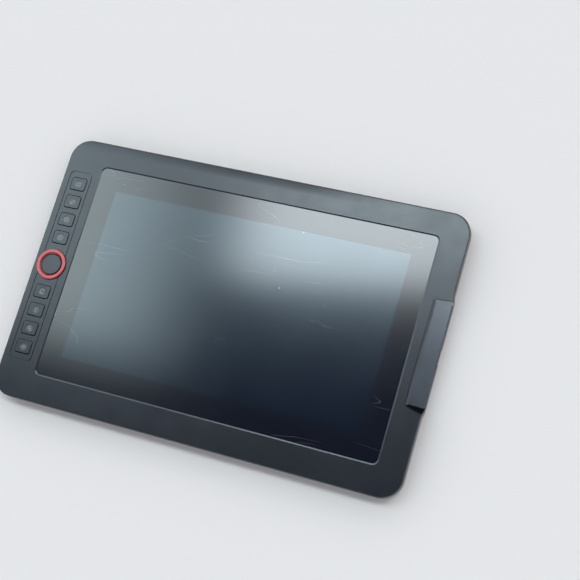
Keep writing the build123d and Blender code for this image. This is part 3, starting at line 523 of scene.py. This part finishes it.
def show(name, mesh, material):
    """Makes an object of a finished bmesh."""
    data = bpy.data.meshes.new(name)
    mesh.to_mesh(data)
    mesh.free()
    data.materials.append(material)
    made = bpy.data.objects.new(name, data)
    bpy.context.scene.collection.objects.link(made)
    return made


def piece(name, mesh, material, body):
    """Makes a piece of the object and lets it ride on a body of the frame."""
    bmesh.ops.recalc_face_normals(mesh, faces=mesh.faces[:])
    made = show(name, mesh, material)
    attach(made, body)


def block(mesh, centre, size, turn=0.0):
    """Adds a block, turned about +Z."""
    place = Matrix.Translation(centre) @ Matrix.Rotation(turn, 4, "Z") @ Matrix.Diagonal((*size, 1.0))
    bmesh.ops.create_cube(mesh, size=1.0, matrix=place)


def washer(mesh, centre, outer, inner, height, axis=(0, 0, 1), sweep=2 * math.pi, start=0.0):
    """Adds a ring, or part of one, spun from a small section that stands on the centre's plane."""
    axis = Vector(axis)
    side = Vector((1, 0, 0)) if abs(axis.x) < 0.5 else Vector((0, 1, 0))
    side.rotate(Matrix.Rotation(start, 3, axis))
    centre = Vector(centre)
    corners = [(inner, 0.0), (outer, 0.0), (outer, height), (inner, height)]
    made = [mesh.verts.new(centre + side * across + axis * up) for across, up in corners]
    section = mesh.faces.new(made)
    whole = sweep >= 2 * math.pi
    spun = bmesh.ops.spin(mesh, geom=[section, *section.edges, *section.verts], cent=centre, axis=axis,
                          angle=sweep, steps=32, use_merge=whole, use_duplicate=False)
    if whole:
        last = [face for face in spun["geom_last"] if isinstance(face, bmesh.types.BMFace)]
        bmesh.ops.delete(mesh, geom=last, context="FACES_ONLY")
        bmesh.ops.remove_doubles(mesh, verts=mesh.verts[:], dist=0.001 * MM)


def rounded_loop(mesh, low, high, corner, grow, height):
    """Adds the edges of a rounded rectangle round a box, grown by a length, at a height."""
    loop = bmesh.ops.create_grid(mesh, x_segments=1, y_segments=1, size=0.5)["verts"]
    bmesh.ops.scale(mesh, vec=(high.x - low.x + 2 * grow, high.y - low.y + 2 * grow, 1.0), verts=loop)
    bmesh.ops.translate(mesh, vec=((low.x + high.x) / 2, (low.y + high.y) / 2, height), verts=loop)
    rounded = bmesh.ops.bevel(mesh, geom=loop, offset=corner + grow, offset_type="OFFSET", affect="VERTICES",
                              segments=8, profile=0.5, material=-1)["verts"]
    faces = {face for vertex in rounded for face in vertex.link_faces}
    bmesh.ops.delete(mesh, geom=list(faces), context="FACES_ONLY")
    return list({edge for vertex in rounded for edge in vertex.link_edges})


def key_mark(mesh, number, centre, size, height):
    """The mark in the dish of one key, each a different plain shape in thin strokes."""
    thin = size * 0.13
    raised = centre + Vector((0, 0, height / 2))

    def stroke(x, y, length_share, turn):
        place = raised + Vector((x * size, y * size, 0))
        block(mesh, place, (length_share * size, thin, height), math.radians(turn))

    def ring(radius_share, x=0.0, y=0.0, sweep=360, start=0):
        place = centre + Vector((x * size, y * size, 0))
        washer(mesh, place, radius_share * size, radius_share * size - thin, height,
               sweep=math.radians(sweep), start=math.radians(start))

    if number == 1:
        ring(0.5)
        stroke(0.0, 0.0, 0.5, 90)
    elif number == 2:
        ring(0.5)
        ring(0.2)
    elif number == 3:
        stroke(0.1, 0.1, 0.7, 50)
        ring(0.22, -0.22, -0.24)
    elif number == 4:
        for side in (-1, 1):
            stroke(0.0, side * 0.26, 0.8, 0)
            stroke(side * 0.34, 0.0, 0.52, 90)
    elif number == 5:
        ring(0.5, sweep=250, start=40)
        stroke(0.3, 0.32, 0.3, 45)
    elif number == 6:
        stroke(0.0, 0.0, 0.9, 90)
        for side in (-1, 1):
            stroke(side * 0.14, 0.3, 0.4, -side * 45)
    elif number == 7:
        ring(0.34, -0.08, 0.1)
        stroke(0.3, -0.3, 0.4, -45)
    else:
        for turn in (30, 90, 150):
            stroke(0.0, 0.0, 0.9, turn)


# Operators

class PenDisplayOperator:
    """What every step of the build has in common."""
    bl_options = {"REGISTER", "UNDO"}


class FinishShells(PenDisplayOperator, Operator):
    """Gives the shells, the side plate and the feet their moulded finish"""
    bl_idname = "pen_display.finish_shells"
    bl_label = "Finish Shells"

    def execute(self, context):
        settings = context.scene.pen_display_shells
        coarse = settings.grain_size * 1.6
        dress("bezel_plastic", front_shell_plastic(settings))
        dress("rear_plastic", moulded_plastic("Rear shell plastic", settings.rear_colour, coarse, 0.45, 0.03))
        dress("plate_plastic", side_plate_plastic(settings))
        dress("foot_rubber", rubber("Foot rubber", settings.foot_colour, 1.4 * MM, 0.15))
        return {"FINISHED"}


class FinishScreen(PenDisplayOperator, Operator):
    """Gives the glass and the layers of the display behind it their materials"""
    bl_idname = "pen_display.finish_screen"
    bl_label = "Finish Screen"

    def execute(self, context):
        dress("screen_glass", screen_glass(context.scene.pen_display_screen))
        dress("tape_foam", sealing_foam("Tape foam", (0.02, 0.02, 0.02)))
        dress("panel_glass", display_cell())
        dress("film_white", light_film())
        dress("tray_metal", brushed_metal("Tray aluminium", (0.6, 0.6, 0.62), 0.36, (0.05, 1.0, 1.0)))
        return {"FINISHED"}


class FinishControls(PenDisplayOperator, Operator):
    """Gives the keys, the dial and the buttons their materials"""
    bl_idname = "pen_display.finish_controls"
    bl_label = "Finish Controls"

    def execute(self, context):
        shells, dial = context.scene.pen_display_shells, context.scene.pen_display_dial
        grain = shells.grain_size
        fine = grain * 0.8
        for number, key in enumerate(KEYS, 1):
            dress_node(key, key_plastic(number, key, shells, dial))
        dress("button_plastic", moulded_plastic("Button plastic", shells.rear_colour, fine, 0.4, 0.012))
        dress("ring_red", ring_finish(dial))
        dress("cap_plastic", moulded_plastic("Middle disc plastic", dial.cap_colour, grain, 0.22))
        dress("wheel_plastic", moulded_plastic("Wheel plastic", (0.018, 0.018, 0.02), grain, 0.35))
        dress("mat_rubber", moulded_plastic("Key mat rubber", (0.33, 0.33, 0.32), grain, 0.75, 0.02))
        return {"FINISHED"}


class FinishElectronics(PenDisplayOperator, Operator):
    """Gives the boards, ribbons, metal sheets and screws their materials"""
    bl_idname = "pen_display.finish_electronics"
    bl_label = "Finish Electronics"

    def execute(self, context):
        dress("board_resin", circuit_board())
        dress("chip_resin", moulded_plastic("Chip resin", (0.018, 0.018, 0.019), 0.2 * MM, 0.5, 0.01))
        dress("flex_film", flex_film())
        dress("shield_steel", brushed_metal("Shield steel", (0.5, 0.5, 0.49), 0.32, (1.0, 0.05, 1.0)))
        dress("port_metal", brushed_metal("Port steel", (0.56, 0.56, 0.57), 0.26, (0.08, 1.0, 1.0), 4000.0))
        dress("screw_steel", screw_finish())
        return {"FINISHED"}


class MakeSeal(PenDisplayOperator, Operator):
    """Lays the black seal in the gap round the glass"""
    bl_idname = "pen_display.make_seal"
    bl_label = "Make Seal"

    def execute(self, context):
        settings = context.scene.pen_display_screen
        low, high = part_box("cover_glass")
        face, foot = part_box("front_bezel")[1].z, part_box("glass_tape")[0].z
        gap, lip, bevel = settings.seal_gap, settings.lip_round, settings.glass_bevel
        play = 0.005 * MM
        lip_arc = [(gap + lip * (1 - math.sin(angle)), face - lip * (1 - math.cos(angle)))
                   for angle in (math.radians(30), math.radians(60))]
        section = [
            (-bevel - 0.03 * MM, high.z + 0.002 * MM),
            (0.3 * MM, face - 0.068 * MM),
            (gap + lip, face - 0.001 * MM),
            *lip_arc,
            (gap - play, face - lip),
            (gap - play, foot),
            (play, foot),
            (play, high.z - bevel),
        ]
        mesh = bmesh.new()
        corner = settings.glass_corner
        loops = [rounded_loop(mesh, low, high, corner, grow, height) for grow, height in section]
        for first, second in zip(loops, loops[1:] + loops[:1]):
            bmesh.ops.bridge_loops(mesh, edges=first + second)
        finish = moulded_plastic("Glass seal", (0.010, 0.010, 0.011), 0.3 * MM)
        piece("glass_seal", mesh, finish, "case")
        return {"FINISHED"}


class MakeKeyMarks(PenDisplayOperator, Operator):
    """Raises a plain mark for the finger in the dish of each shortcut key"""
    bl_idname = "pen_display.make_key_marks"
    bl_label = "Make Key Marks"

    def execute(self, context):
        settings = context.scene.pen_display_dial
        finish = moulded_plastic("Mark plastic", settings.mark_colour, 0.3 * MM, 0.34, 0.006)
        foot_depth = 0.41 * MM
        dish_rise = 0.20 * MM
        for number, key in enumerate(KEYS, 1):
            centre = middle(key)
            centre.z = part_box(key)[1].z - foot_depth
            mesh = bmesh.new()
            key_mark(mesh, number, centre, settings.mark_size, dish_rise + settings.mark_height)
            piece(f"key_mark_{number}", mesh, finish, f"{key}_body")
        return {"FINISHED"}


class MakeButtonMarks(PenDisplayOperator, Operator):
    """Raises a power sign, a plus and a minus on the buttons in the top edge"""
    bl_idname = "pen_display.make_button_marks"
    bl_label = "Make Button Marks"

    def execute(self, context):
        finish = moulded_plastic("Button mark plastic", (0.20, 0.20, 0.21), 0.3 * MM, 0.4, 0.006)
        thin, proud, bar = 0.2 * MM, 0.08 * MM, 1.3 * MM
        outer, inner = 0.62 * MM, 0.42 * MM
        stem, stem_height = 0.6 * MM, 0.5 * MM
        for name in BUTTONS:
            centre = middle(name)
            centre.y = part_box(name)[1].y
            raised = centre + Vector((0, proud / 2, 0))
            mesh = bmesh.new()
            if name == "power_button":
                washer(mesh, centre, outer, inner, proud, (0, 1, 0), math.radians(290), math.radians(-55))
                block(mesh, raised + Vector((0, 0, stem_height)), (thin, proud, stem))
            else:
                block(mesh, raised, (bar, proud, thin))
                if name == "brightness_up_button":
                    block(mesh, raised, (thin, proud, bar))
            piece(f"{name}_mark", mesh, finish, f"{name}_body")
        return {"FINISHED"}


class MakePortContacts(PenDisplayOperator, Operator):
    """Lays the rows of gold contacts on both faces of the port's tongue"""
    bl_idname = "pen_display.make_port_contacts"
    bl_label = "Make Port Contacts"

    def execute(self, context):
        low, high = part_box("usb_c_port")
        tongue_depth, half_height, half_tongue = 6.0 * MM, 1.63 * MM, 0.36 * MM
        strip, pitch, count = Vector((3.6, 0.25, 0.04)) * MM, 0.5 * MM, 12
        x = high.x - tongue_depth + strip.x / 2
        mesh = bmesh.new()
        for side in (1, -1):
            for place in range(count):
                y = (low.y + high.y) / 2 + (place - (count - 1) / 2) * pitch
                block(mesh, (x, y, high.z - half_height + side * half_tongue), strip)
        piece("port_contacts", mesh, gold_plate(), "case")
        return {"FINISHED"}


class MakeStage(PenDisplayOperator, Operator):
    """Makes the floor, the soft light round the object and the camera"""
    bl_idname = "pen_display.make_stage"
    bl_label = "Make Stage"

    def execute(self, context):
        settings = context.scene.pen_display_stage
        recipe = Recipe("Studio floor", Roughness=0.9, Specular_IOR_Level=0.1)
        darker = shade(settings.floor_colour, 0.99)
        recipe.set(Base_Color=recipe.mix(recipe.noise(1.2), settings.floor_colour[:], darker))
        mesh = bmesh.new()
        bmesh.ops.create_grid(mesh, x_segments=1, y_segments=1, size=FLOOR_REACH)
        show("studio_floor", mesh, recipe.material)
        light_world(context.scene)
        camera_data = bpy.data.cameras.new("camera")
        camera_data.lens = settings.lens
        camera_data.sensor_width = 36.0
        camera_data.clip_start, camera_data.clip_end = 0.01, 100.0
        camera = bpy.data.objects.new("camera", camera_data)
        camera.location = settings.camera_place
        camera.rotation_euler = settings.camera_turn
        context.scene.collection.objects.link(camera)
        context.scene.camera = camera
        context.scene.view_settings.view_transform = "Standard"
        return {"FINISHED"}


# Light

class SoftBox(NamedTuple):
    """A soft box painted on the sky, as a window in the X and Y of the direction that it lies in."""
    strength: float
    tint: tuple
    across: tuple
    along: tuple
    feather: tuple
    tilt: float


SOFT_BOXES = (
    SoftBox(2.78, (0.86, 1.02, 1.05), (-0.75, -0.41), (0.11, 0.40), (0.06, 0.03), 0.0),
    SoftBox(5.3, (0.98, 1.10, 1.15), (-0.36, -0.13), (0.28, 0.44), (0.03, 0.014), 0.24),
    SoftBox(6.6, (0.96, 1.02, 1.05), (0.04, 0.47), (0.22, 0.42), (0.03, 0.02), 0.0),
)
SHADE_CENTRE = (-0.20, 0.06, 0.98)
SHADE_REACH = (math.radians(29.5), math.radians(59))
SHADE_COLOUR = (0.008, 0.022, 0.090, 1.0)
FAR_SIDE = (-0.6, 0.8, 0.0)
FAR_SIDE_COLOUR = (1.60, 1.60, 1.60, 1.0)
NEAR_SIDE_COLOUR = (0.36, 0.37, 0.39, 1.0)
HORIZON = (0.22, 0.42)
HORIZON_COLOUR = (1.0, 1.0, 1.0, 1.0)


def light_world(scene):
    """A pale sky, brighter on the far side, with a dark shade overhead and three soft boxes on it."""
    world = bpy.data.worlds.new("Studio sky")
    world.use_nodes = True
    scene.world = world
    sky = Nodes(world.node_tree)
    towards = sky.add("TexCoord").outputs["Generated"]
    place = sky.axes(towards)
    overhead = sky.vector("DOT_PRODUCT", towards, {1: Vector(SHADE_CENTRE).normalized()}, "Value")
    away = sky.ease(sky.count("ARCCOSINE", overhead), *SHADE_REACH)
    far = sky.vector("DOT_PRODUCT", towards, {1: FAR_SIDE}, "Value")
    total = sky.mix(sky.spread(far, 0.0, 1.0, -1.0, 1.0), NEAR_SIDE_COLOUR, FAR_SIDE_COLOUR)
    total = sky.mix(sky.ease(place["Z"], *HORIZON), HORIZON_COLOUR, total)
    total = sky.mix(away, SHADE_COLOUR, total)
    above = sky.count("GREATER_THAN", place["Z"], 0.0)
    for box in SOFT_BOXES:
        glow = sky.times(above, box.strength)
        height = sky.count("SUBTRACT", place["Y"], sky.times(place["X"], box.tilt))
        for reach, window, feather in zip((place["X"], height), (box.across, box.along), box.feather):
            start, end = window
            glow = sky.times(sky.ease(reach, start - feather, start + feather), glow)
            glow = sky.times(sky.ease(reach, end + feather, end - feather), glow)
        lit = sky.vector("SCALE", box.tint, {"Scale": glow})
        total = sky.vector("ADD", total, {1: lit})
    sky.feed(world.node_tree.nodes["Background"].inputs["Color"], total)


class PenDisplayPanel(Panel):
    """The settings and the steps of the pen display."""
    bl_idname = "VIEW3D_PT_pen_display"
    bl_label = "Pen Display"
    bl_space_type = "VIEW_3D"
    bl_region_type = "UI"
    bl_category = "Pen Display"

    def draw(self, context):
        for title, holder in SETTINGS.items():
            box = self.layout.box()
            group = getattr(context.scene, title)
            for setting in holder.__annotations__:
                box.prop(group, setting)
        for step in STEPS:
            self.layout.operator(step.bl_idname)


SETTINGS = {
    "pen_display_shells": ShellSettings,
    "pen_display_screen": ScreenSettings,
    "pen_display_dial": DialSettings,
    "pen_display_stage": StageSettings,
}
STEPS = (
    MakeStage,
    FinishShells,
    FinishScreen,
    FinishControls,
    FinishElectronics,
    MakeSeal,
    MakeKeyMarks,
    MakeButtonMarks,
    MakePortContacts,
)
CLASSES = (*SETTINGS.values(), *STEPS, PenDisplayPanel)


def register():
    """Registers the settings, the steps and the panel."""
    for holder in CLASSES:
        bpy.utils.register_class(holder)
    for title, holder in SETTINGS.items():
        setattr(bpy.types.Scene, title, PointerProperty(type=holder))


def unregister():
    """Takes the settings, the steps and the panel away again."""
    for title in SETTINGS:
        delattr(bpy.types.Scene, title)
    for holder in reversed(CLASSES):
        bpy.utils.unregister_class(holder)


def main():
    """Runs every step in order."""
    register()
    for step in STEPS:
        getattr(bpy.ops.pen_display, step.bl_idname.split(".")[1])()


if __name__ == "__main__":
    main()
